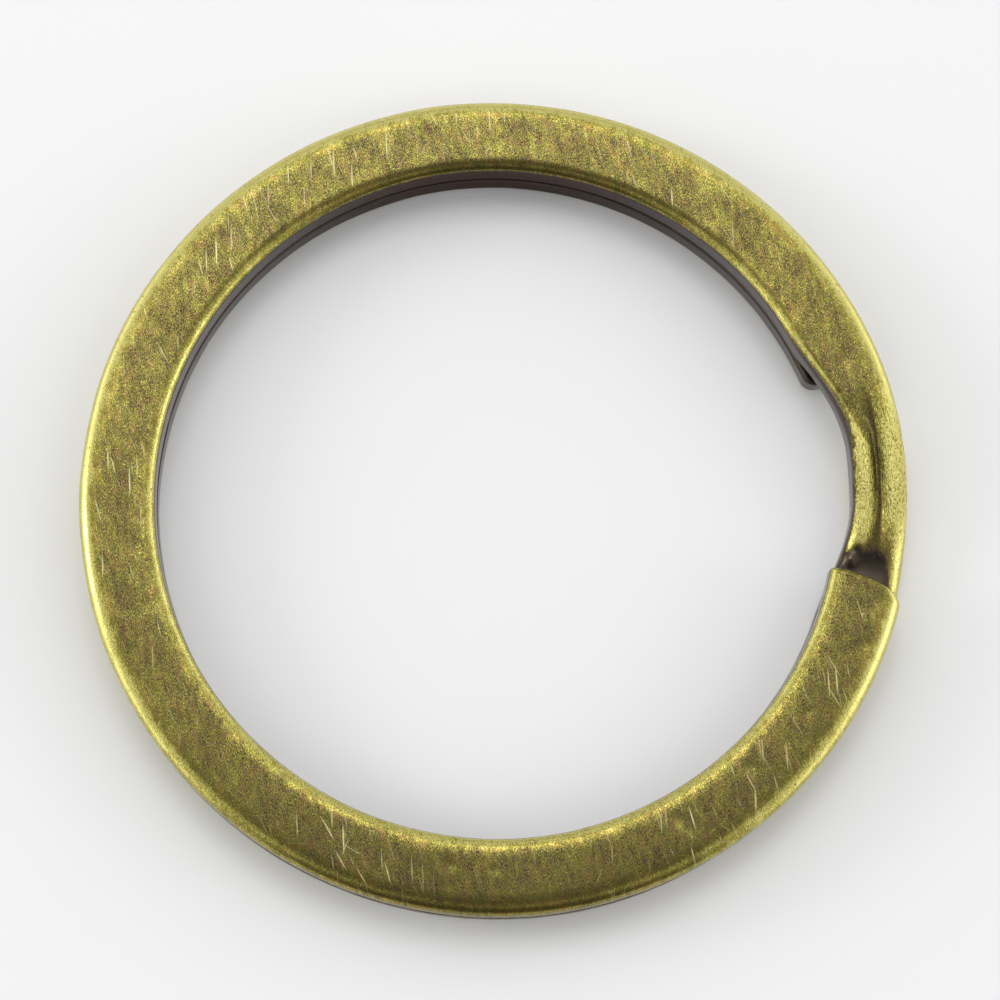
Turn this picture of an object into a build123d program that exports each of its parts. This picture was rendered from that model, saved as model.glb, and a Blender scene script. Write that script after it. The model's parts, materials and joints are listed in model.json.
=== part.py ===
from build123d import *

# Split key ring: one length of flat spring wire wound into two flat turns that lie face to face.
# The crossover, a pinched and grooved stretch of the wire, carries it from the upper turn down to
# the lower one, so each turn has one free tip, on the other side of the crossover from its fellow.
# Either turn can be pried off the other at its tip. The half turn nearest that tip then twists along
# its whole length, so it is divided into short spans. They are all lengths of the same wire, meet on
# flat radial faces, and turn on the wire's own centre line where they meet.
#
# Millimetres. The ring lies on z = 0 and is centred on the Z axis. Angles run anticlockwise from +X.
# Reach is the angle along the wire, measured from the middle of the crossover. The lower turn is the
# upper turn rolled over, half a revolution about the radial line through the middle of the crossover.

import os
from math import cos, pi, radians, sin

# Driving dimensions of the ring and its wire
outer_diameter = 32.0
wire_width = 2.9
wire_thickness = 1.34
turn_clearance = 0.05
outer_edge_radius = 0.5
inner_edge_radius = 0.4

# The crossover: where it is, how far it reaches each way, and how the wire is formed there
crossover_angle = 4.5
crossover_half_reach = 24.0
level_change_half_reach = 15.5
full_pinch_half_reach = 4.0
groove_half_reach = 13.0
crossover_sections = 25
pinch = 0.76
swell = 0.44
groove_depth = 0.3
pinched_edge_radius = 0.55

# The spans that twist as a tip is pried up, and the tip itself
first_flex_reach = 162.0
flex_span_reach = 20.0
flex_span_count = 8
tip_outer_reach = 341.6
tip_inner_reach = 343.8
tip_bulge = 0.11
tip_corner_radius = 0.4

outer_radius = outer_diameter / 2
inner_radius = outer_radius - wire_width
centre_radius = (outer_radius + inner_radius) / 2
ring_height = 2 * wire_thickness + turn_clearance
middle_height = ring_height / 2
level_change = wire_thickness + turn_clearance
upper_turn_height = middle_height + level_change / 2


def ease(share):
    """From 0 to 1, level at both ends."""
    held = min(max(share, 0), 1)
    return held * held * (3 - 2 * held)


def hump(share):
    """From 0 to 1 halfway and back to 0, level at both ends."""
    held = min(max(share, 0), 1)
    return sin(pi * held) ** 2


def share_of(reach, half_reach):
    """How far a reach has come from one end of a stretch to the other, from 0 to 1."""
    return (reach + half_reach) / (2 * half_reach)


def on_ring(radius, reach):
    """The point in plan at a radius and a reach."""
    angle = radians(crossover_angle + reach)
    return (radius * cos(angle), radius * sin(angle))


def grooved_side(start, end, height, depth):
    """The top or bottom side of a section, dished towards the wire's centre line by a depth."""
    if depth == 0:
        return Line((start, height), (end, height))
    steps = 8
    inwards = -depth if height > 0 else depth
    points = []
    for step in range(steps + 1):
        share = step / steps
        points.append((start + (end - start) * share, height + inwards * hump(share)))
    along = (1, 0) if end > start else (-1, 0)
    return Spline(*points, tangents=[along, along])


def wire_section(reach, height, pinched=0.0, swollen=0.0, grooved=0.0, inner_edge=inner_edge_radius):
    """The wire's section in the radial plane at a reach, with its middle at a height."""
    inner = inner_radius + pinched
    half = (wire_thickness + swollen) / 2
    inner_corner = (inner + inner_edge, half - inner_edge)
    outer_corner = (outer_radius - outer_edge_radius, half - outer_edge_radius)
    angle = radians(crossover_angle + reach)
    outwards = (cos(angle), sin(angle), 0)
    plane = Plane(origin=(0, 0, height), x_dir=outwards, z_dir=(sin(angle), -cos(angle), 0))
    with BuildSketch(plane) as section:
        with BuildLine():
            grooved_side(inner_corner[0], outer_corner[0], half, grooved)
            CenterArc(outer_corner, outer_edge_radius, 90, -90)
            Line((outer_radius, outer_corner[1]), (outer_radius, -outer_corner[1]))
            CenterArc((outer_corner[0], -outer_corner[1]), outer_edge_radius, 0, -90)
            grooved_side(outer_corner[0], inner_corner[0], -half, grooved)
            CenterArc((inner_corner[0], -inner_corner[1]), inner_edge, -90, -90)
            Line((inner, -inner_corner[1]), (inner, inner_corner[1]))
            CenterArc(inner_corner, inner_edge, 180, -90)
        make_face()
    return section.sketch.faces()[0]


def crossover_section(reach):
    """The pinched, swollen and grooved wire on its way from the lower turn to the upper one."""
    rise = ease(share_of(reach, level_change_half_reach)) - 0.5
    pinch_run = crossover_half_reach - full_pinch_half_reach
    formed = ease((crossover_half_reach - abs(reach)) / pinch_run)
    return wire_section(
        reach,
        middle_height + level_change * rise,
        pinched=pinch * formed,
        swollen=swell * hump(share_of(reach, level_change_half_reach)),
        grooved=groove_depth * hump(share_of(reach, groove_half_reach)),
        inner_edge=inner_edge_radius + (pinched_edge_radius - inner_edge_radius) * formed,
    )


def build_crossover():
    step = 2 * crossover_half_reach / (crossover_sections - 1)
    reaches = [-crossover_half_reach + step * index for index in range(crossover_sections)]
    return loft([crossover_section(reach) for reach in reaches])


def upper_span(start_reach, end_reach):
    """A plain length of the upper turn."""
    return revolve(wire_section(start_reach, upper_turn_height), Axis.Z, end_reach - start_reach)


def tip_outline(start_reach):
    """The free tip in plan: its end is cut askew and bowed, with rounded corners."""
    inner_end = Vector(*on_ring(inner_radius, tip_inner_reach))
    outer_end = Vector(*on_ring(outer_radius, tip_outer_reach))
    onwards = Vector(*on_ring(tip_bulge, tip_outer_reach + 90))
    with BuildSketch() as outline:
        with BuildLine():
            inner_side = ThreePointArc(
                on_ring(inner_radius, start_reach),
                on_ring(inner_radius, (start_reach + tip_inner_reach) / 2),
                inner_end,
            )
            ThreePointArc(inner_end, (inner_end + outer_end) / 2 + onwards, outer_end)
            outer_side = ThreePointArc(
                outer_end,
                on_ring(outer_radius, (start_reach + tip_outer_reach) / 2),
                on_ring(outer_radius, start_reach),
            )
            Line(outer_side @ 1, inner_side @ 0)
        make_face()
        for end in (inner_end, outer_end):
            fillet(outline.vertices().sort_by_distance(end)[0], tip_corner_radius)
    return outline.sketch


def upper_tip(start_reach):
    """The upper turn's free tip."""
    spare = 2
    blank = upper_span(start_reach, tip_inner_reach + spare)
    return (blank & extrude(tip_outline(start_reach), ring_height)).solids()[0]


def upper_turn():
    """Every length of the upper turn by its name, from the crossover to the free tip."""
    lengths = {"root": upper_span(crossover_half_reach, first_flex_reach)}
    for index in range(flex_span_count):
        start_reach = first_flex_reach + flex_span_reach * index
        lengths[f"flex_{index + 1}"] = upper_span(start_reach, start_reach + flex_span_reach)
    lengths["tip"] = upper_tip(first_flex_reach + flex_span_reach * flex_span_count)
    return lengths


def main():
    roll_axis = Axis((0, 0, middle_height), Vector(*on_ring(1, 0)))
    nodes = {"crossover": build_crossover()}
    for name, length in upper_turn().items():
        nodes[f"upper_turn_{name}"] = length
        nodes[f"lower_turn_{name}"] = length.rotate(roll_axis, 180)
    os.makedirs("parts", exist_ok=True)
    for name, solid in nodes.items():
        export_step(solid, f"parts/{name}.step")


if __name__ == "__main__":
    main()
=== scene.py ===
import json
import math

import bpy
import numpy as np
from mathutils import Matrix, Vector

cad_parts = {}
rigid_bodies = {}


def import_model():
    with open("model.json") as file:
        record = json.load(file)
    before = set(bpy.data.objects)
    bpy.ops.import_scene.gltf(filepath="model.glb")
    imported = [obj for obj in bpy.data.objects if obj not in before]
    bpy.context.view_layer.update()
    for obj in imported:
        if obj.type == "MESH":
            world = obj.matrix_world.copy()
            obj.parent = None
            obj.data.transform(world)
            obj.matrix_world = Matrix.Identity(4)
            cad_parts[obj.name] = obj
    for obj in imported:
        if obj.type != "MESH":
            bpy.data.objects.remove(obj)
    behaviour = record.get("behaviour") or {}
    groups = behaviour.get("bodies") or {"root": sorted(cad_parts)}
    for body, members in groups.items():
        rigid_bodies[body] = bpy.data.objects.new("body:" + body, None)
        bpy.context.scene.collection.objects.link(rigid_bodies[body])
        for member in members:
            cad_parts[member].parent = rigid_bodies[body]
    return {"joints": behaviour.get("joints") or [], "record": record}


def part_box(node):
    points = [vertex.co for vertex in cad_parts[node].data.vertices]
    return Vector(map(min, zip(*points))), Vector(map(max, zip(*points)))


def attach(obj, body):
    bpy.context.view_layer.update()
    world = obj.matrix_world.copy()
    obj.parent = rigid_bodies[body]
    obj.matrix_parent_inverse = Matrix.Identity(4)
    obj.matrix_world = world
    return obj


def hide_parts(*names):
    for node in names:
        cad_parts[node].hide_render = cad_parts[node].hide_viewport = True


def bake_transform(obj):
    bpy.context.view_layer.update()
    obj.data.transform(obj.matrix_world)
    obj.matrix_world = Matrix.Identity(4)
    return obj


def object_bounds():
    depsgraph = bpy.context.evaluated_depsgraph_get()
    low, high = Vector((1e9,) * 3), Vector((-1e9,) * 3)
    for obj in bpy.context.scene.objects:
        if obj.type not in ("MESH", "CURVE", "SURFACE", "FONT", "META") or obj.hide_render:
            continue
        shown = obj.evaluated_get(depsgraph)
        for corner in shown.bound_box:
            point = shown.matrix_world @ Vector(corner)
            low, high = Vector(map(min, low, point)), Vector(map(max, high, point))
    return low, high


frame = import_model()
cadLow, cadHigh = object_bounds()

# The wire is worked out in millimetres and made into meshes in metres
toMetres = 0.001
toMm = 1000.0

record = frame["record"]
mounts = {mount["name"]: mount for mount in record["mounts"]}
upperLow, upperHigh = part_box("upper_turn_root")
lowerLow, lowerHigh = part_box("lower_turn_root")

# What the frame says about the ring
ring = {
    "outerRadius": (cadHigh.x - cadLow.x) / 2 * toMm,
    "innerRadius": mounts["inner_loop"]["dims"]["r_mm"],
    "thickness": (upperHigh.z - upperLow.z) * toMm,
    "upperHeight": (upperHigh.z + upperLow.z) / 2 * toMm,
    "lowerHeight": (lowerHigh.z + lowerLow.z) / 2 * toMm,
}
ring["width"] = ring["outerRadius"] - ring["innerRadius"]
ring["centreRadius"] = (ring["outerRadius"] + ring["innerRadius"]) / 2


def angleOf(joint):
    return math.degrees(math.atan2(joint["pos_m"][1], joint["pos_m"][0])) % 360


upperJoints = [joint for joint in frame["joints"] if joint["name"].startswith("upper_turn")]
lowerJoints = [joint for joint in frame["joints"] if joint["name"].startswith("lower_turn")]
# the joints nearest the crossover on the two turns stand equally far off it, one on each side
crossoverAngle = (angleOf(upperJoints[0]) + angleOf(lowerJoints[-1]) - 360) / 2
upperReaches = [(angleOf(joint) - crossoverAngle) % 360 for joint in upperJoints]
lowerReaches = [-((crossoverAngle - angleOf(joint)) % 360) for joint in lowerJoints]
halfSpan = (upperReaches[1] - upperReaches[0]) / 2

# How the flat wire is rolled
flatWire = {
    "outerEdgeAcross": 0.78,  # how far the rounding reaches over the face
    "outerEdgeDown": 0.56,
    "innerEdgeAcross": 0.66,
    "innerEdgeDown": 0.46,
    "edgeFullness": 2.5,  # 2 is a plain ellipse; more comes off the face more gently
    "tuckedEdge": 0.2,  # the edges that lie against the other turn are sharper
    "tuckedFrom": 17.0,  # degrees along the wire from the middle of the crossover
    "tuckedOver": 7.0,
    "mostAcross": 0.62,  # no edge takes up more of the half width than this
    "mostDown": 0.9,
    "crown": 0.022,  # the faces are very slightly domed
    "twistShare": 0.97,  # how much of a span twists as its joint turns
    "stationStep": 0.07,  # mesh spacing along the wire
    "faceSteps": 28,
    "cornerSteps": 12,
    "sideSteps": 5,
}

# The formed stretch between the two turns
crossover = {
    "halfReach": 24.0,
    "levelHalfReach": 15.5,
    "fullPinchHalfReach": 4.0,
    "grooveHalfReach": 13.0,
    "pinch": 0.76,
    "swell": 0.44,
    "grooveDepth": 0.25,
    "innerEdge": 0.55,
}

# The two free tips
tip = {
    "outerReach": 341.6,
    "innerReach": 343.8,
    "bulge": 0.45,  # degrees that the end bows out
    "outerCorner": 0.45,
    "upperInnerCorner": 0.16,
    "lowerInnerCorner": 0.58,
    "faceRounding": 0.2,
    "skewRun": 3.0,  # the mesh turns to follow the end over this length
    "cornerStations": 16,
    "capRings": 8,
    "capClosed": 0.97,  # the rings of the end face close in this far, and a small polygon fills the rest
}

# Handling marks and the unevenness of rolled and tumbled wire
knocks = {
    "waviness": 0.014,
    "wavinessSize": 2.6,
    "ripple": 0.0035,
    "rippleSize": 0.55,
    "ridgeHammer": 0.008,
    "ridgeHammerSize": 0.14,
    "ridgeHammerDrawn": (1.0, 0.45, 1.0),  # the hammering is longer along the ridges
    "dents": 150,
    "dentDepth": (0.006, 0.03),
    "dentSize": (0.1, 0.3),
    "dentStations": 12,  # a dent is felt this many stations each way
    "tipKept": 0.3,  # the last of each tip keeps its clean shape
    "bead": 0.09,  # a smooth swelling in the recess by the upper tip
    "beadSize": 0.26,
    "beadReach": -13.5,
    "beadRadius": 13.86,
    "seed": 11,
}


def ease(share):
    held = np.clip(share, 0, 1)
    return held * held * (3 - 2 * held)


def hump(share):
    return np.sin(np.pi * np.clip(share, 0, 1)) ** 2


def past(value, start, over):
    # 0 up to the start, and easing to 1 over the run after it
    return ease((value - start) / over)


def before(value, end, over):
    # 1 until the run up to the end, and easing to 0 at the end
    return ease((end - value) / over)


def spot(value, middle, spread):
    return np.exp(-(((value - middle) / spread) ** 2))


def softNoise(points, size, seed):
    # smooth random values from -1 to 1, from a lattice of hashed numbers
    scaled = points / size
    cell = np.floor(scaled).astype(np.int64)
    blend = scaled - cell
    blend = blend * blend * (3 - 2 * blend)
    total = np.zeros(points.shape[:-1])
    for corner in range(8):
        step = np.array([corner & 1, corner >> 1 & 1, corner >> 2 & 1])
        key = (cell + step) * np.array([73856093, 19349663, 83492791])
        mixed = (key[..., 0] ^ key[..., 1] ^ key[..., 2] ^ (seed * 2654435761)) & 0x7FFFFFFF
        mixed = (mixed ^ (mixed >> 13)) * 1274126177 & 0x7FFFFFFF
        mixed = (mixed ^ (mixed >> 15)) * 2246822519 & 0x7FFFFFFF
        weight = np.prod(np.where(step, blend, 1 - blend), axis=-1)
        total += weight * (mixed / 0x3FFFFFFF - 1)
    return total


def sectionPlan():
    # the parts of the section in order: out is +1 outer, -1 inner or 0 on a face, and side is +1 top,
    # -1 bottom or 0 on a wall
    face = np.linspace(0, 1, flatWire["faceSteps"], endpoint=False)
    corner = np.linspace(0, 1, flatWire["cornerSteps"], endpoint=False)
    wall = np.linspace(0, 1, flatWire["sideSteps"], endpoint=False)
    outer = [(1, 1, corner), (1, 0, wall), (1, -1, corner)]
    inner = [(-1, -1, corner), (-1, 0, wall), (-1, 1, corner)]
    return [(0, 1, face)] + outer + [(0, -1, face)] + inner


def sectionPoints(halfWide, halfThick, groove, innerAcross, innerDown, tucked):
    # across (outwards is +) and up, one row for each station. tucked is +1 where the top lies against the
    # other turn and -1 where the bottom does
    outerEdge = (flatWire["outerEdgeAcross"], flatWire["outerEdgeDown"])
    corners = {}
    for side in (1, -1):
        sharper = np.clip(side * tucked, 0, 1)
        for out, edge in ((1, outerEdge), (-1, (innerAcross, innerDown))):
            over, down = (free + (flatWire["tuckedEdge"] - free) * sharper for free in edge)
            over = np.minimum(over, halfWide * flatWire["mostAcross"])
            corners[out, side] = (over, np.minimum(down, halfThick * flatWire["mostDown"]))
    across, up, fromInner, fromOuter = [], [], [], []
    power = 2 / flatWire["edgeFullness"]
    for out, side, share in sectionPlan():
        turn = share * math.pi / 2
        near = side or 1
        innerX, outerX = -halfWide + corners[-1, near][0], halfWide - corners[1, near][0]
        if out == 0:
            along = share if side > 0 else 1 - share
            across.append(innerX + (outerX - innerX) * along)
            up.append(side * halfThick + 0 * share)
        elif side == 0:
            top, bottom = halfThick - corners[out, 1][1], -halfThick + corners[out, -1][1]
            across.append(out * halfWide + 0 * share)
            up.append(top + (bottom - top) * (share if out > 0 else 1 - share))
        else:
            reachOver, reachDown = corners[out, side]
            sine, cosine = np.sin(turn) ** power, np.cos(turn) ** power
            if out * side < 0:
                sine, cosine = cosine, sine
            across.append(out * (halfWide - reachOver + reachOver * sine))
            up.append(side * (halfThick - reachDown + reachDown * cosine))
        fromInner.append(across[-1] - innerX)
        fromOuter.append(outerX - across[-1])
    strips = (across, up, fromInner, fromOuter)
    across, up, fromInner, fromOuter = (np.concatenate(strip, axis=1) for strip in strips)
    dished = hump(fromInner / (fromInner + fromOuter))
    up = up * (1 - flatWire["crown"] / halfThick * (across / halfWide) ** 2)
    return across, up * (1 - groove / halfThick * dished), fromInner, fromOuter


def stationList():
    # reach along the wire at mid width, distance left to the tip, and how far the end face has closed
    middleEnd = (tip["outerReach"] + tip["innerReach"]) / 2 + tip["bulge"]
    perMm = math.degrees(1 / ring["centreRadius"])
    corner = max(tip["outerCorner"], tip["lowerInnerCorner"])
    cutReaches = [upperReaches[0] - halfSpan] + [reach + halfSpan for reach in upperReaches[:-1]]
    stops = [-crossover["halfReach"], crossover["halfReach"]] + cutReaches + [middleEnd - corner * perMm]
    half = [np.array([0.0])]
    for start, stop in zip([0.0] + stops[1:-1], stops[1:]):
        count = max(2, round((stop - start) / perMm / flatWire["stationStep"]))
        half.append(np.linspace(start, stop, count + 1)[1:])
    reach = np.concatenate(half)
    left = (middleEnd - reach) / perMm
    turn = np.linspace(0, 1, tip["cornerStations"] + 1)[1:] * math.pi / 2
    left = np.concatenate([left, corner * (1 - np.sin(turn)), np.zeros(tip["capRings"])])
    reach = middleEnd - left * perMm
    closed = np.zeros(len(reach))
    closed[-tip["capRings"]:] = np.linspace(0, tip["capClosed"], tip["capRings"] + 1)[1:]
    reach = np.concatenate([-reach[:0:-1], reach])
    left = np.concatenate([left[:0:-1], left])
    closed = np.concatenate([closed[:0:-1], closed])
    return reach, left, closed


def rounded(left, radius):
    # how far an edge has drawn in, a distance from the tip
    held = np.clip(radius - left, 0, radius)
    return radius - np.sqrt(radius * radius - held * held)


def layWire():
    reach, left, closed = (values[:, None] for values in stationList())
    pinchRun = crossover["halfReach"] - crossover["fullPinchHalfReach"]
    formed = ease((crossover["halfReach"] - abs(reach)) / pinchRun)
    levelShare = (reach / crossover["levelHalfReach"] + 1) / 2
    grooved = hump((reach / crossover["grooveHalfReach"] + 1) / 2)
    thick = ring["thickness"] + crossover["swell"] * hump(levelShare) - 2 * rounded(left, tip["faceRounding"])
    outerIn = rounded(left, tip["outerCorner"])
    upperIn, lowerIn = rounded(left, tip["upperInnerCorner"]), rounded(left, tip["lowerInnerCorner"])
    innerIn = np.where(reach > 0, upperIn, lowerIn) + crossover["pinch"] * formed
    halfWide = (ring["width"] - outerIn - innerIn) / 2
    middle = ring["outerRadius"] - outerIn - halfWide
    innerAcross, innerDown = flatWire["innerEdgeAcross"], flatWire["innerEdgeDown"]
    innerAcross = innerAcross + (crossover["innerEdge"] - innerAcross) * formed
    innerDown = innerDown + (crossover["innerEdge"] - innerDown) * formed
    groove = crossover["grooveDepth"] * grooved
    tucked = -np.sign(reach) * past(abs(reach), flatWire["tuckedFrom"], flatWire["tuckedOver"])
    section = sectionPoints(halfWide, thick / 2, groove, innerAcross, innerDown, tucked)
    across, up, fromInner, fromOuter = section
    across, up = across * (1 - closed), up * (1 - closed)
    # near a tip the stations turn to follow its skewed and bowed end
    sideways = np.clip((middle + across - ring["centreRadius"]) / (ring["width"] / 2), -1, 1)
    skew = (tip["outerReach"] - tip["innerReach"]) / 2 * sideways - tip["bulge"] * sideways ** 2
    turned = reach + np.sign(reach) * ease(1 - left / tip["skewRun"]) * skew
    angle = np.radians(crossoverAngle + turned)
    radius = middle + across
    height = ring["lowerHeight"] + (ring["upperHeight"] - ring["lowerHeight"]) * ease(levelShare)
    place = np.stack([radius * np.cos(angle), radius * np.sin(angle), height + up], axis=-1)
    laid = {"reach": reach + 0 * across, "left": left + 0 * across, "up": 2 * up / thick}
    laid.update(fromInner=fromInner, fromOuter=fromOuter)
    return place, laid


def surfaceNormals(place):
    along = np.gradient(place, axis=0)
    around = np.roll(place, -1, axis=1) - np.roll(place, 1, axis=1)
    normal = np.cross(around, along)
    return normal / np.maximum(np.linalg.norm(normal, axis=-1, keepdims=True), 1e-12)


def beadPlace():
    angle = math.radians(crossoverAngle + knocks["beadReach"])
    radius = knocks["beadRadius"]
    return np.array([radius * math.cos(angle), radius * math.sin(angle), ring["thickness"]])


def weather(place, laid):
    # presses the wire's unevenness and its knocks into the surface
    reach, left = laid["reach"], laid["left"]
    normal = surfaceNormals(place)
    push = knocks["waviness"] * softNoise(place, knocks["wavinessSize"], 3)
    push += knocks["ripple"] * softNoise(place, knocks["rippleSize"], 5)
    onRidges = hump((reach / crossover["grooveHalfReach"] + 1) / 2)
    stretched = place * np.array(knocks["ridgeHammerDrawn"])
    push += knocks["ridgeHammer"] * onRidges * softNoise(stretched, knocks["ridgeHammerSize"], 9)
    draws = np.random.default_rng(knocks["seed"])
    for _ in range(knocks["dents"]):
        station, point = draws.integers(place.shape[0]), draws.integers(place.shape[1])
        depth, size = draws.uniform(*knocks["dentDepth"]), draws.uniform(*knocks["dentSize"])
        low, high = max(0, station - knocks["dentStations"]), station + knocks["dentStations"] + 1
        away = np.linalg.norm(place[low:high] - place[station, point], axis=-1)
        push[low:high] -= depth * size / knocks["dentSize"][1] * spot(away, 0, size)
    fromBead = np.linalg.norm(place - beadPlace(), axis=-1)
    push += knocks["bead"] * spot(fromBead, 0, knocks["beadSize"])
    push *= ease(left / knocks["tipKept"])
    return place + normal * push[..., None]


# Where keys and fingers have scratched the ring most, and over how many degrees
scuffed = (
    (101.0, 17.0),
    (137.0, 15.0),
    (178.0, 24.0),
    (248.0, 9.0),
    (306.0, 16.0),
    (333.0, 8.0),
    (62.0, 10.0),
)

# Painted shade round the ring, in degrees: polish is taken off the outer edge round the bottom and the inner
# edge round the top, which face the dim front of the room
frontShadedEdges = {
    "outerAt": 268.0,
    "outerOver": 44.0,
    "outerShare": 0.75,
    "innerAt": 92.0,
    "innerOver": 44.0,
    "innerShare": 0.8,
}

# How the edges of the two turns are polished. Each pair is where the polish ends, in millimetres on to
# the face from where the edge's rounding starts, and over what width it fades
polish = {
    "outer": (-0.05, 0.42),
    "outerShare": 0.8,
    "outerFringe": (0.25, 0.5),
    "outerFringeShare": 0.2,
    "inner": (-0.16, 0.32),
    "innerShare": 0.78,
    "innerFringe": (0.2, 0.4),
    "innerFringeShare": 0.07,
    "ragged": 0.06,
    "lowerInnerLost": 0.85,  # the lower turn's inner edge is out of reach of hands and pockets
    "lowerInnerFrom": (-20.0, 6.0),  # degrees along the wire
    "tipShare": 0.4,  # the rim of the upper tip
    "tipWidth": 0.3,
}

# How the crossover's two ridges are polished, in millimetres and in degrees along the wire
crests = {
    "formed": (27.0, 8.0),
    "ridgesBeyondGroove": 3.0,
    "widened": (9.0, 8.0),  # the inner crest is broader on its lower half
    "innerAt": -0.25,
    "innerMoves": 0.17,
    "innerMovesFrom": (8.0, 14.0),
    "innerWidth": 0.14,
    "innerWider": 0.48,
    "innerFade": 0.14,
    "innerFadeWider": 0.16,
    "innerStart": 0.12,
    "innerStartFade": 0.1,
    "outerWidth": 0.46,
    "outerFade": 0.3,
    "hammered": (0.4, 0.2),
}

# The side walls that nothing rubs, the grime in the recess and between the turns, and painted shade on the
# inner wall round the top of the ring
unrubbed = {
    "wall": (-0.06, 0.1),
    "steep": (0.42, 0.2),  # how far a wall may lean
    "flankStart": 0.10,
    "flankFade": 0.08,
    "grimeStart": 10.2,
    "grimeLaterOutside": 6.5,
    "grimeOutside": (0.05, 0.6),
    "grimeRagged": 0.9,
    "grimeFade": 3.0,
    "grimeDepth": (0.55, 0.35),
    "valley": 0.3,
    "valleyInner": (0.2, 0.2),
    "valleyOuter": (0.26, 0.2),
    "valleyAlong": (8.0, 8.0),
    "beadSize": 0.17,
    # painted highlight: how much of the grime the bead's spot loses
    "beadClean": 0.8,
    # painted shade: the inner wall round the top of the ring, which faces the dim front of the room, gets the
    # grime colour
    "wallGrime": 0.8,
    "wallGrimeSpread": 1.2,
    "tuckedDepth": (0.3, 0.5),
    "tuckedAlong": (20.0, 4.0),
}


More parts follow.
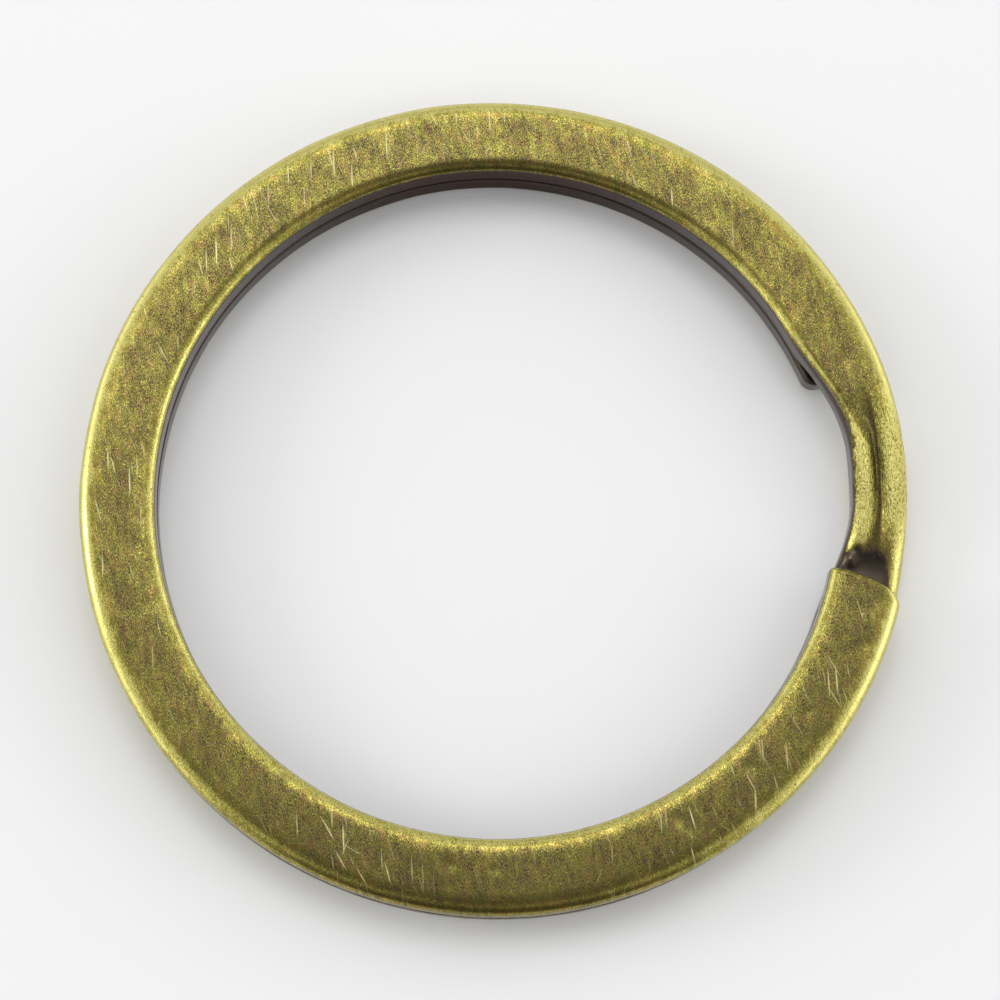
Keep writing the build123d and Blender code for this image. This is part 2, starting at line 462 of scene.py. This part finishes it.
def wearMaps(place, normal, laid):
    reach, up, facing = laid["reach"], laid["up"], normal[..., 2]
    fromInner, fromOuter = laid["fromInner"], laid["fromOuter"]
    around = np.degrees(np.arctan2(place[..., 1], place[..., 0])) % 360
    ragged = softNoise(place, 0.35, 21) + 0.5 * softNoise(place, 0.15, 22)
    # polish: tumbling and pockets have polished both long edges, and the polish fades on to the face; painted
    # shade then takes polish off the edges that face the dim front of the room
    # painted shade: the polish is cut back on the outer edge round the bottom and the inner edge round the
    # top
    outerShadeLeft = 1 - frontShadedEdges["outerShare"] * spot(around, frontShadedEdges["outerAt"], frontShadedEdges["outerOver"])
    innerShadeLeft = 1 - frontShadedEdges["innerShare"] * spot(around, frontShadedEdges["innerAt"], frontShadedEdges["innerOver"])
    nearOuter, nearInner = fromOuter + polish["ragged"] * ragged, fromInner + polish["ragged"] * ragged
    outerEdge = polish["outerShare"] * before(nearOuter, *polish["outer"])
    outerEdge += polish["outerFringeShare"] * before(nearOuter, *polish["outerFringe"])
    outerEdge *= outerShadeLeft
    innerEdge = polish["innerShare"] * before(nearInner, *polish["inner"])
    innerEdge += polish["innerFringeShare"] * before(nearInner, *polish["innerFringe"])
    innerEdge *= innerShadeLeft
    innerEdge *= 1 - polish["lowerInnerLost"] * before(reach, *polish["lowerInnerFrom"])
    # over the crossover only the two ridges are polished, and roughly
    formed = before(abs(reach), *crests["formed"])
    ridged = hump((reach / (crossover["grooveHalfReach"] + crests["ridgesBeyondGroove"]) + 1) / 2)
    widened = before(reach, *crests["widened"])
    crestAt = crests["innerAt"] - crests["innerMoves"] * past(reach, *crests["innerMovesFrom"])
    crestEnd = crestAt + crests["innerWidth"] + crests["innerWider"] * widened + 0.06 * ragged
    crestStart = crestAt - crests["innerStart"] * (1 + widened) - 0.04 * ragged
    innerCrest = before(fromInner, crestEnd, crests["innerFade"] + crests["innerFadeWider"] * widened)
    innerCrest *= past(fromInner, crestStart, crests["innerStartFade"])
    outerCrest = before(fromOuter, crests["outerWidth"] + 0.05 * ragged, crests["outerFade"])
    innerEdge = innerEdge * (1 - formed) + innerCrest * formed
    outerEdge = outerEdge * (1 - ridged) + outerCrest * ridged
    tipRim = polish["tipShare"] * ease(1 - laid["left"] / polish["tipWidth"]) * ease(up * 2) * (reach > 0)
    polishAndShade = np.maximum(np.maximum(innerEdge, outerEdge), tipRim)
    # hammered: the ridges are rough from forming
    hammered = ridged * before(np.minimum(fromInner, fromOuter), *crests["hammered"])
    # bare: the inner side of the loop, which nothing has rubbed, and a painted highlight on the bead by the
    # upper tip
    wall = before(abs(facing) - 0.05 * ragged, *unrubbed["steep"]) * before(fromInner, *unrubbed["wall"])
    flankEnd = crestAt - unrubbed["flankStart"] - crests["innerStart"] * widened + 0.04 * ragged
    flank = formed * before(fromInner, flankEnd, unrubbed["flankFade"])
    # painted highlight: on the bead the grime is mostly taken off and the lighter wall colour laid, so a
    # bright spot shows there
    beadHighlightSpot = spot(np.linalg.norm(place - beadPlace(), axis=-1), 0, unrubbed["beadSize"])
    bareAndHighlight = np.maximum(np.maximum(wall, flank), beadHighlightSpot)
    # grime: the faces that lie against the other turn, from a ragged edge that runs later on the outside.
    # Painted shade on the inner wall round the top is added to the same map below
    insideUp = np.where(reach > 0, -up, up)
    later = unrubbed["grimeLaterOutside"] * before(fromOuter, *unrubbed["grimeOutside"])
    start = unrubbed["grimeStart"] + later + unrubbed["grimeRagged"] * ragged
    deep, deepFade = unrubbed["grimeDepth"]
    grimedAndShaded = ease((insideUp - deep) / deepFade + 0.1 * ragged)
    grimedAndShaded *= past(abs(reach), start, unrubbed["grimeFade"])
    valley = ridged * past(fromInner, *unrubbed["valleyInner"]) * past(fromOuter, *unrubbed["valleyOuter"])
    grimedAndShaded = np.maximum(grimedAndShaded, unrubbed["valley"] * valley * before(reach, *unrubbed["valleyAlong"]))
    # painted shade: the inner wall round the top, which faces the dim front of the room, is darkened with the
    # grime colour
    wallGrime = spot(around, frontShadedEdges["innerAt"], frontShadedEdges["innerOver"] * unrubbed["wallGrimeSpread"])
    grimedAndShaded = np.maximum(grimedAndShaded, unrubbed["wallGrime"] * wall * wallGrime)
    grimedAndShaded *= 1 - unrubbed["beadClean"] * beadHighlightSpot
    tuckedAway = past(insideUp, *unrubbed["tuckedDepth"]) * past(abs(reach), *unrubbed["tuckedAlong"])
    polishAndShade = polishAndShade * (1 - grimedAndShaded) * (1 - bareAndHighlight) * (1 - tuckedAway)
    hammered = hammered * (1 - grimedAndShaded) * (1 - bareAndHighlight)
    # scratched: in patches on the faces, and not over the inner rounding
    scratched = sum(spot(around, middle, spread) for middle, spread in scuffed)
    scratched = np.clip(scratched * (0.8 + 0.5 * softNoise(place, 1.6, 31)), 0, 1)
    scratched *= (1 - np.maximum(grimedAndShaded, bareAndHighlight)) * past(abs(facing), 0.35, 0.3) * past(fromInner, -0.2, 0.2)
    return {"polishAndShade": polishAndShade, "grimedAndShaded": grimedAndShaded, "bareAndHighlight": bareAndHighlight, "hammered": hammered, "scratched": scratched}


def capNormal(cap, place):
    middle = place[cap].mean(axis=0)
    turned = np.cross(place[cap] - middle, np.roll(place[cap], -1, axis=0) - middle).sum(axis=0)
    return turned / np.linalg.norm(turned)


def makePiece(name, first, last, body, stands):
    # a closed length of the wire, from one station to another
    rows, columns = last - first + 1, wirePlace.shape[1]
    place = wirePlace[first:last + 1].reshape(-1, 3) * toMetres
    index = np.arange(rows * columns).reshape(rows, columns)
    nextColumn = np.roll(index, -1, axis=1)
    sides = np.stack([index[:-1], nextColumn[:-1], nextColumn[1:], index[1:]], axis=-1).reshape(-1, 4)
    caps = [index[0, ::-1], index[-1]]
    mesh = bpy.data.meshes.new(name)
    mesh.from_pydata(place.tolist(), [], sides.tolist() + [cap.tolist() for cap in caps])
    for title, values in wireWear.items():
        layer = mesh.attributes.new(title, "FLOAT", "POINT")
        layer.data.foreach_set("value", values[first:last + 1].astype(np.float32).ravel())
    layer = mesh.attributes.new("restPlace", "FLOAT_VECTOR", "POINT")
    layer.data.foreach_set("vector", wireRest[first:last + 1].astype(np.float32).ravel())
    # normals come from the whole wire, so that lengths join without a seam
    corners = wireNormal[first:last + 1].reshape(-1, 3)
    ends = [np.repeat(capNormal(cap, place)[None], columns, axis=0) for cap in caps]
    cornerNormals = np.concatenate([corners[sides.ravel()]] + ends)
    mesh.polygons.foreach_set("use_smooth", np.ones(len(mesh.polygons), bool))
    mesh.normals_split_custom_set(cornerNormals.tolist())
    mesh.materials.append(antiqueBrass)
    piece = bpy.data.objects.new(name, mesh)
    bpy.context.scene.collection.objects.link(piece)
    if body:
        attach(piece, body)
    if stands:
        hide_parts(*stands)
    return piece


class Wiring:
    # adds nodes and links them, one short call each
    def __init__(self, tree):
        self.tree = tree

    def add(self, kind, settings=None, **inputs):
        node = self.tree.nodes.new(kind)
        for key, value in (settings or {}).items():
            setattr(node, key, value)
        for key, value in inputs.items():
            socket = node.inputs[int(key[2:])] if key.startswith("in") else node.inputs[key.replace("_", " ")]
            if isinstance(value, bpy.types.NodeSocket):
                self.tree.links.new(value, socket)
            else:
                socket.default_value = value
        return node

    def math(self, operation, first, second=0.0, third=0.0):
        settings = {"operation": operation}
        return self.add("ShaderNodeMath", settings, in0=first, in1=second, in2=third).outputs[0]

    def span(self, value, low, high, toLow=0.0, toHigh=1.0):
        settings = {"interpolation_type": "SMOOTHSTEP"}
        node = self.add("ShaderNodeMapRange", settings, in0=value, in1=low, in2=high, in3=toLow, in4=toHigh)
        return node.outputs[0]

    def blend(self, share, first, second):
        settings = {"data_type": "RGBA"}
        node = self.add("ShaderNodeMix", settings, in0=share)
        for socket, value in ((node.inputs[6], first), (node.inputs[7], second)):
            if isinstance(value, bpy.types.NodeSocket):
                self.tree.links.new(value, socket)
            else:
                socket.default_value = (*value, 1)
        return node.outputs[2]

    def stretched(self, vector, angle, scale):
        settings = {"vector_type": "POINT"}
        turned = self.add("ShaderNodeMapping", settings, Vector=vector, Rotation=(0, 0, math.radians(angle)))
        node = self.add("ShaderNodeVectorMath", {"operation": "MULTIPLY"}, in0=turned.outputs[0], in1=scale)
        return node.outputs[0]

    def noise(self, vector, detail=2.0, roughness=0.5, scale=1.0):
        settings = {"Scale": scale, "Detail": detail, "Roughness": roughness}
        return self.add("ShaderNodeTexNoise", None, Vector=vector, **settings).outputs["Fac"]

    def attribute(self, name, output="Fac"):
        return self.add("ShaderNodeAttribute", {"attribute_name": name}).outputs[output]

    def offset(self, value, weight):
        # a texture value turned into a swing about nought
        return self.math("MULTIPLY_ADD", value, weight, -weight / 2)


# Each layer of scratches: how far its strokes lean from straight across the ring, their length and
# width, what share of the possible strokes is there, and how strong they are
scratchLayers = [
    {"lean": -3.0, "long": 1.7, "wide": 0.1, "share": 0.09, "strength": 1.0},
    {"lean": -16.0, "long": 1.4, "wide": 0.09, "share": 0.06, "strength": 1.0},
    {"lean": -30.0, "long": 1.6, "wide": 0.075, "share": 0.06, "strength": 0.9},
    {"lean": 22.0, "long": 1.2, "wide": 0.06, "share": 0.015, "strength": 0.6},
    {"lean": -9.0, "long": 1.0, "wide": 0.05, "share": 0.08, "strength": 0.4},
    {"lean": -24.0, "long": 1.0, "wide": 0.05, "share": 0.08, "strength": 0.35},
    {"lean": -60.0, "long": 1.4, "wide": 0.055, "share": 0.02, "strength": 0.4},
]

# How one stroke looks inside its cell
stroke = {
    "edge": 0.42,
    "core": 0.16,
    "faintest": 0.5,
    "upwards": 0.35,  # cells per millimetre up the wire's side
    "apart": (7.3, 3.1),  # each layer is moved this far from the last
}

patina = {
    "deep": (0.036, 0.027, 0.020),
    "umber": (0.094, 0.066, 0.036),
    "olive": (0.152, 0.127, 0.038),
    "mustard": (0.234, 0.203, 0.040),
    "bright": (0.370, 0.325, 0.066),
    "polished": (0.640, 0.580, 0.190),
    "scratch": (0.960, 0.880, 0.470),
    "copper": (0.215, 0.128, 0.048),
    "verdigris": (0.138, 0.150, 0.030),
    "wall": (0.092, 0.074, 0.072),  # the bare inner side, and a painted highlight on the bead in the recess
    # the grime colour, also laid on the inner wall round the top as painted shade
    "grimeAndShadeColour": (0.066, 0.050, 0.039),
    "cleanSheen": (1.0, 1.0, 1.0),
    "grimeAndShadeSheen": (0.62, 0.55, 0.54),  # how much a grimed face, and the inner wall under painted shade, still shines when seen edge on
    "amber": (0.330, 0.205, 0.050),  # warm tarnish just inside the polished edges
    "plainWear": 0.44,  # how worn an untouched face is, from 0 dark to 1 bright
    "grainDepth": 0.0000040,  # metres
    "scratchDepth": 0.0000060,
}

# How worn the patina is, painted shade included, where each colour takes over from the one before
wornAt = {
    "umber": (0.02, 0.3),
    "olive": (0.22, 0.46),
    "mustard": (0.44, 0.74),
    "bright": (0.70, 0.95),
    "polished": (0.92, 1.22),
}

# The patina's patterns: how many to a millimetre across, along and up the wire, how far off straight
# across they lean, how fine they are, and how much they vary the wear
patterns = {
    "blotch": {"perMm": (0.9, 0.55, 0.8), "lean": -12.0, "detail": 3.0, "varies": 0.5},
    "streak": {"perMm": (4.6, 1.5, 3.0), "lean": -12.0, "detail": 3.0, "varies": 0.7},
    "grain": {"perMm": (30.0, 12.0, 18.0), "lean": -12.0, "detail": 2.0, "varies": 1.8},
    "speck": {"perMm": 30.0, "varies": 1.4},
    "pits": {"perMm": 9.0},
    "tint": {"perMm": (3.4, 1.7, 3.0), "lean": -12.0, "detail": 3.0},
    "flecks": {"perMm": (9.0, 6.0, 6.0), "lean": -20.0, "detail": 2.0},
    "drawn": {"perMm": (24.0, 5.0, 14.0), "lean": 0.0, "detail": 2.0},
}


def patternOf(wiring, place, name):
    made = patterns[name]
    return wiring.noise(wiring.stretched(place, made["lean"], made["perMm"]), made["detail"], 0.6)


def scratches(wiring, place):
    # fine straight strokes: stretched cells, each with one needle, most of them left empty
    total = None
    for number, layer in enumerate(scratchLayers):
        scale = (1 / layer["wide"], 1 / layer["long"], stroke["upwards"])
        apart = (stroke["apart"][0] * number, stroke["apart"][1] * number, 0)
        moved = wiring.add("ShaderNodeVectorMath", {"operation": "ADD"}, in0=place, in1=apart)
        cells = wiring.stretched(moved.outputs[0], layer["lean"], scale)
        needle = wiring.add("ShaderNodeTexVoronoi", {"feature": "F1"}, Vector=cells, Scale=1.0)
        split = wiring.add("ShaderNodeSeparateColor", None, in0=needle.outputs["Color"])
        line = wiring.span(needle.outputs["Distance"], stroke["edge"], stroke["core"])
        share = 1 - layer["share"]
        kept = wiring.span(split.outputs[0], share - 0.01, share + 0.01)
        firm = wiring.span(split.outputs[1], 0.0, 1.0, stroke["faintest"], 1.0)
        mark = wiring.math("MULTIPLY", wiring.math("MULTIPLY", line, kept), firm)
        mark = wiring.math("MULTIPLY", mark, layer["strength"])
        total = mark if total is None else wiring.math("MAXIMUM", total, mark)
    return total


def makeAntiqueBrass():
    material = bpy.data.materials.new("antiqueBrass")
    material.use_nodes = True
    tree = material.node_tree
    tree.nodes.clear()
    wiring = Wiring(tree)
    place = wiring.attribute("restPlace", "Vector")
    polishAndShade, grimedAndShaded, bareAndHighlight = (wiring.attribute(name) for name in ("polishAndShade", "grimedAndShaded", "bareAndHighlight"))
    hammered, scratched = wiring.attribute("hammered"), wiring.attribute("scratched")
    blotch, streak, grain = (patternOf(wiring, place, name) for name in ("blotch", "streak", "grain"))
    tint, flecks, drawn = (patternOf(wiring, place, name) for name in ("tint", "flecks", "drawn"))
    speck = wiring.noise(place, 1.0, 0.6, patterns["speck"]["perMm"])
    pits = wiring.noise(place, 1.0, 0.5, patterns["pits"]["perMm"])

    # how far the patina has worn, with painted shade taken off it: 0 dark, 1 bright
    uneven = wiring.offset(blotch, patterns["blotch"]["varies"])
    for name, value in (("streak", streak), ("grain", grain), ("speck", speck)):
        uneven = wiring.math("ADD", uneven, wiring.offset(value, patterns[name]["varies"]))
    smoother = wiring.span(polishAndShade, 0.05, 0.9, 1.0, 0.65)
    wearAndShade = wiring.math("MULTIPLY_ADD", uneven, smoother, patina["plainWear"])
    wearAndShade = wiring.math("ADD", wearAndShade, wiring.math("MULTIPLY", polishAndShade, 0.8))
    wearAndShade = wiring.math("SUBTRACT", wearAndShade, wiring.math("MULTIPLY", grimedAndShaded, 0.6))
    ridgeStreaks = wiring.math("MULTIPLY_ADD", drawn, 2.6, -1.25)
    wearAndShade = wiring.math("ADD", wearAndShade, wiring.math("MULTIPLY", hammered, ridgeStreaks))
    pitted = wiring.math("MULTIPLY", hammered, wiring.span(pits, 0.5, 0.36))
    wearAndShade = wiring.math("SUBTRACT", wearAndShade, wiring.math("MULTIPLY", pitted, 0.2))
    marks = scratches(wiring, place)
    marks = wiring.math("MULTIPLY", marks, wiring.math("MULTIPLY_ADD", scratched, 0.94, 0.06))
    marks = wiring.math("MULTIPLY", marks, wiring.span(polishAndShade, 0.75, 0.25, 0.15, 1.0))

    dark = wiring.blend(wiring.span(wearAndShade, *wornAt["umber"]), patina["deep"], patina["umber"])
    middle = wiring.blend(wiring.span(wearAndShade, *wornAt["olive"]), dark, patina["olive"])
    light = wiring.blend(wiring.span(wearAndShade, *wornAt["mustard"]), middle, patina["mustard"])
    copper = wiring.math("MULTIPLY", wiring.span(tint, 0.50, 0.66), wiring.span(wearAndShade, 0.2, 0.45))
    light = wiring.blend(wiring.math("MULTIPLY", copper, 0.65), light, patina["copper"])
    green = wiring.math("MULTIPLY", wiring.span(tint, 0.50, 0.36), wiring.span(wearAndShade, 0.3, 0.6))
    light = wiring.blend(wiring.math("MULTIPLY", green, 0.65), light, patina["verdigris"])
    edging = wiring.math("MULTIPLY", wiring.span(polishAndShade, 0.08, 0.26), wiring.span(polishAndShade, 0.65, 0.35))
    edging = wiring.math("MULTIPLY", edging, wiring.span(blotch, 0.50, 0.58))
    colour = wiring.blend(wiring.span(wearAndShade, *wornAt["bright"]), light, patina["bright"])
    colour = wiring.blend(wiring.math("MULTIPLY", edging, 0.4), colour, patina["amber"])
    colour = wiring.blend(wiring.span(wearAndShade, *wornAt["polished"]), colour, patina["polished"])
    colour = wiring.blend(wiring.span(flecks, 0.64, 0.72, 0.0, 0.6), colour, patina["deep"])
    colour = wiring.blend(wiring.math("MULTIPLY", marks, 0.95), colour, patina["scratch"])
    # the bare wall colour, and on the bead a lighter spot that is a painted highlight
    colour = wiring.blend(wiring.math("MULTIPLY", bareAndHighlight, 0.9), colour, patina["wall"])
    # grime in the recess and between the turns, and painted shade on the inner wall round the top
    colour = wiring.blend(wiring.span(grimedAndShaded, 0.3, 0.9), colour, patina["grimeAndShadeColour"])

    roughness = wiring.span(wearAndShade, 0.0, 1.0, 0.44, 0.24)
    roughness = wiring.math("ADD", roughness, wiring.offset(grain, 0.12))
    roughness = wiring.math("ADD", roughness, wiring.math("MULTIPLY", marks, 0.3))
    roughness = wiring.math("ADD", roughness, wiring.math("MULTIPLY", hammered, 0.12))
    smooth = wiring.math("MAXIMUM", bareAndHighlight, wiring.span(grimedAndShaded, 0.5, 1.0))
    roughness = wiring.math("SUBTRACT", roughness, wiring.math("MULTIPLY", smooth, 0.2))

    height = wiring.math("ADD", grain, wiring.math("MULTIPLY", streak, 0.8))
    height = wiring.math("SUBTRACT", height, wiring.span(flecks, 0.62, 0.74, 0.0, 0.8))
    hammering = wiring.math("ADD", pits, wiring.math("MULTIPLY", drawn, 3.0))
    hammering = wiring.math("MULTIPLY", hammering, hammered)
    height = wiring.math("ADD", height, wiring.math("MULTIPLY", hammering, 7.0))
    grained = wiring.add("ShaderNodeBump", None, Strength=1.0, Distance=patina["grainDepth"], Height=height)
    relief = {"Distance": patina["scratchDepth"], "Height": wiring.math("MULTIPLY", marks, -1.0)}
    cut = wiring.add("ShaderNodeBump", None, Strength=1.0, Normal=grained.outputs[0], **relief)

    # grimed faces and the painted shade on the top inner wall reflect less
    sheen = wiring.blend(wiring.span(grimedAndShaded, 0.3, 0.9), patina["cleanSheen"], patina["grimeAndShadeSheen"])
    finish = {"Base_Color": colour, "Metallic": 1.0, "Roughness": roughness, "Specular_Tint": sheen}
    shader = wiring.add("ShaderNodeBsdfPrincipled", None, Normal=cut.outputs[0], **finish)
    output = wiring.add("ShaderNodeOutputMaterial", None, Surface=shader.outputs[0])
    output.is_active_output = True
    return material


antiqueBrass = makeAntiqueBrass()
print("finish made: antique brass")

wireRest, wireLaid = layWire()
wirePlace = weather(wireRest, wireLaid)
wireNormal = surfaceNormals(wirePlace)
wireWear = wearMaps(wireRest, surfaceNormals(wireRest), wireLaid)
print("wire laid:", wirePlace.shape[0], "stations of", wirePlace.shape[1], "points")


def stationAt(reach):
    return int(np.abs(wireLaid["reach"][:, 0] - reach).argmin())


def bendAcross(piece):
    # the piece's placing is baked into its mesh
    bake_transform(piece)


def makeRing():
    bodies = record["behaviour"]["bodies"]
    lastStation = wirePlace.shape[0] - 1
    coil = upperJoints[0]["parent"]
    rootEnd = upperReaches[0] - halfSpan
    turnStart = crossover["halfReach"]
    makePiece("crossoverWire", stationAt(-turnStart), stationAt(turnStart), coil, ["crossover"])
    makePiece("upperRootWire", stationAt(turnStart), stationAt(rootEnd), coil, ["upper_turn_root"])
    makePiece("lowerRootWire", stationAt(-rootEnd), stationAt(-turnStart), coil, ["lower_turn_root"])
    for number, (joint, reach) in enumerate(zip(upperJoints, upperReaches), 1):
        start, end = stationAt(reach - halfSpan), stationAt(reach + halfSpan)
        if joint is upperJoints[-1]:
            end = lastStation
        bendAcross(makePiece(f"upperBendWire{number}", start, end, None, bodies[joint["child"]]))
    for number, (joint, reach) in enumerate(zip(lowerJoints[::-1], lowerReaches[::-1]), 1):
        start, end = stationAt(reach - halfSpan), stationAt(reach + halfSpan)
        if joint is lowerJoints[0]:
            start = 0
        bendAcross(makePiece(f"lowerBendWire{number}", start, end, None, bodies[joint["parent"]]))


makeRing()

floor = {
    "halfSize": 1.2,
    "squares": 24,
    "paper": (0.872, 0.872, 0.872),
    "shade": (0.842, 0.842, 0.848),
    "roughness": 0.7,
    "mottlePerMetre": 160.0,
    "mottle": 0.12,
}


def makeFloor():
    steps = floor["squares"]
    mesh = bpy.data.meshes.new("paleFloor")
    line = np.linspace(-floor["halfSize"], floor["halfSize"], steps + 1)
    points = [(x, y, cadLow.z) for y in line for x in line]
    faces = []
    for row in range(steps):
        for column in range(steps):
            start = row * (steps + 1) + column
            faces.append((start, start + 1, start + steps + 2, start + steps + 1))
    mesh.from_pydata(points, [], faces)
    material = bpy.data.materials.new("palePaper")
    material.use_nodes = True
    wiring = Wiring(material.node_tree)
    material.node_tree.nodes.clear()
    where = wiring.add("ShaderNodeTexCoord").outputs["Object"]
    tone = wiring.noise(where, 3.0, 0.6, floor["mottlePerMetre"])
    colour = wiring.blend(wiring.span(tone, 0.2, 0.8, 0.0, floor["mottle"]), floor["paper"], floor["shade"])
    shader = wiring.add("ShaderNodeBsdfPrincipled", None, Base_Color=colour, Roughness=floor["roughness"])
    wiring.add("ShaderNodeOutputMaterial", None, Surface=shader.outputs[0])
    mesh.materials.append(material)
    sheet = bpy.data.objects.new("paleFloor", mesh)
    bpy.context.scene.collection.objects.link(sheet)


# Soft lamps stand round the ring: which way round and how high, how far off, how large, how bright
lamps = {
    "overhead": {"around": 92.0, "raised": 69.0, "off": 0.36, "size": 0.16, "glow": 2.9},
    "left": {"around": 174.0, "raised": 24.0, "off": 0.30, "size": 0.07, "glow": 7.5},
    "right": {"around": 352.0, "raised": 24.0, "off": 0.30, "size": 0.07, "glow": 2.6},
}

# The room is pale overhead and bright down its two sides, dim at its open front and where the camera hangs
room = {
    "pale": (0.98, 0.98, 0.99),
    "low": (0.56, 0.56, 0.565),
    "dim": (0.13, 0.13, 0.135),
    "paleFrom": (8.0, 34.0),  # degrees above the floor
    "horizon": (1.1, 1.1, 1.11),
    "horizonUpTo": (6.0, 16.0),
    "sides": (1.9, 1.9, 1.9),
    "sidesUpTo": (22.0, 42.0),
    "sidesWithin": (30.0, 60.0),
    "overhead": (0.0, -0.21, 0.98),
    "overheadWithin": (13.0, 27.0),  # degrees: fully dim inside the first, pale beyond the second
    "front": (0.0, -1.0, 0.18),
    "frontWithin": (26.0, 56.0),
    "strength": 0.95,
}


def makeLamps():
    for name, lamp in lamps.items():
        light = bpy.data.lights.new(name, "AREA")
        light.shape = "SQUARE"
        light.size = lamp["size"]
        light.energy = lamp["glow"] * math.pi * lamp["size"] ** 2
        stand = bpy.data.objects.new(name, light)
        around, raised = math.radians(lamp["around"]), math.radians(lamp["raised"])
        level = math.cos(raised)
        way = Vector((level * math.cos(around), level * math.sin(around), math.sin(raised)))
        stand.location = way * lamp["off"]
        stand.rotation_euler = way.to_track_quat("Z", "Y").to_euler()
        bpy.context.scene.collection.objects.link(stand)


def makeRoom():
    world = bpy.data.worlds.new("paleRoom")
    world.use_nodes = True
    tree = world.node_tree
    tree.nodes.clear()
    wiring = Wiring(tree)
    way = wiring.add("ShaderNodeTexCoord").outputs["Generated"]
    dim = 0.0
    for place in ("overhead", "front"):
        centre = tuple(Vector(room[place]).normalized())
        near = wiring.add("ShaderNodeVectorMath", {"operation": "DOT_PRODUCT"}, in0=way, in1=centre)
        inner, outer = (math.cos(math.radians(angle)) for angle in room[place + "Within"])
        dim = wiring.math("MAXIMUM", dim, wiring.span(near.outputs["Value"], outer, inner))
    parts = wiring.add("ShaderNodeSeparateXYZ", None, in0=way)
    sideways, height = wiring.math("ABSOLUTE", parts.outputs[0]), parts.outputs[2]
    low, high = (math.sin(math.radians(angle)) for angle in room["paleFrom"])
    colour = wiring.blend(wiring.span(height, low, high), room["low"], room["pale"])
    low, high = (math.sin(math.radians(angle)) for angle in room["horizonUpTo"])
    colour = wiring.blend(wiring.span(height, high, low), colour, room["horizon"])
    low, high = (math.sin(math.radians(angle)) for angle in room["sidesUpTo"])
    inner, outer = (math.cos(math.radians(angle)) for angle in room["sidesWithin"])
    sides = wiring.math("MULTIPLY", wiring.span(height, high, low), wiring.span(sideways, outer, inner))
    colour = wiring.blend(sides, colour, room["sides"])
    colour = wiring.blend(dim, colour, room["dim"])
    back = wiring.add("ShaderNodeBackground", None, Color=colour, Strength=room["strength"])
    wiring.add("ShaderNodeOutputWorld", None, Surface=back.outputs[0])
    bpy.context.scene.world = world


# The camera looks down on the ring from a little in front of it
camera = {
    "leanRight": -0.0242,  # radians off the ring's axis
    "leanFront": 0.2103,
    "distance": 0.110,
    "aimRight": 0.000192,
    "aimUp": 0.000373,
    "lens": 100.83,
    "sensor": 36.0,
}


def makeCamera():
    data = bpy.data.cameras.new("ringCamera")
    data.lens = camera["lens"]
    data.sensor_width = camera["sensor"]
    data.clip_start, data.clip_end = 0.001, 10.0
    stand = bpy.data.objects.new("ringCamera", data)
    back = Vector((math.sin(camera["leanRight"]), -math.sin(camera["leanFront"]), 1)).normalized()
    right = Vector((0, 1, 0)).cross(back).normalized()
    up = back.cross(right)
    hangs = back * camera["distance"]
    back = (hangs - right * camera["aimRight"] - up * camera["aimUp"]).normalized()
    right = Vector((0, 1, 0)).cross(back).normalized()
    facing = Matrix((right, back.cross(right), back)).transposed()
    stand.matrix_world = Matrix.LocRotScale(hangs, facing, None)
    bpy.context.scene.collection.objects.link(stand)
    bpy.context.scene.camera = stand


makeFloor()
makeLamps()
makeRoom()
makeCamera()
bpy.context.scene.view_settings.view_transform = "Standard"
print("floor, lamps and camera placed")
